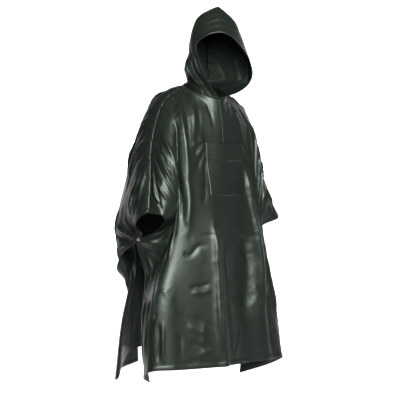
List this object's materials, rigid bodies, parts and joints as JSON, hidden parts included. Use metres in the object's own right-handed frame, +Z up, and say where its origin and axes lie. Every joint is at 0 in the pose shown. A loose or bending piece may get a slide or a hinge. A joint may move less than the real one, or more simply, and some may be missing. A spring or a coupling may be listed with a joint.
{
  "type": "rain poncho",
  "caption": "Hooded rain poncho of dark green coated nylon, hanging as worn, with a front slit, a chest pocket and open side edges snapped under the arms.",
  "frame": {"origin": "middle of the neck hole, level with its sides, where the wearer's shoulders carry the garment", "axes": "+Z up, +X to the wearer's left, -Y the way the front faces"},
  "size_m": [0.6956, 0.5307, 1.3828],
  "materials": {
    "cloth": "coated plain-weave nylon with a soft gloss",
    "snap": "plated metal snap, softly polished"
  },
  "bodies": {
    "root": {"front_panel": "cloth", "back_panel": "cloth", "hood_right": "cloth", "hood_left": "cloth", "slit_flap": "cloth", "chest_pocket": "cloth", "pocket_flap": "cloth", "snap_cap_right": "snap", "snap_socket_right": "snap", "snap_stud_right": "snap", "snap_base_right": "snap", "snap_cap_left": "snap", "snap_socket_left": "snap", "snap_stud_left": "snap", "snap_base_left": "snap"}
  },
  "joints": []
}
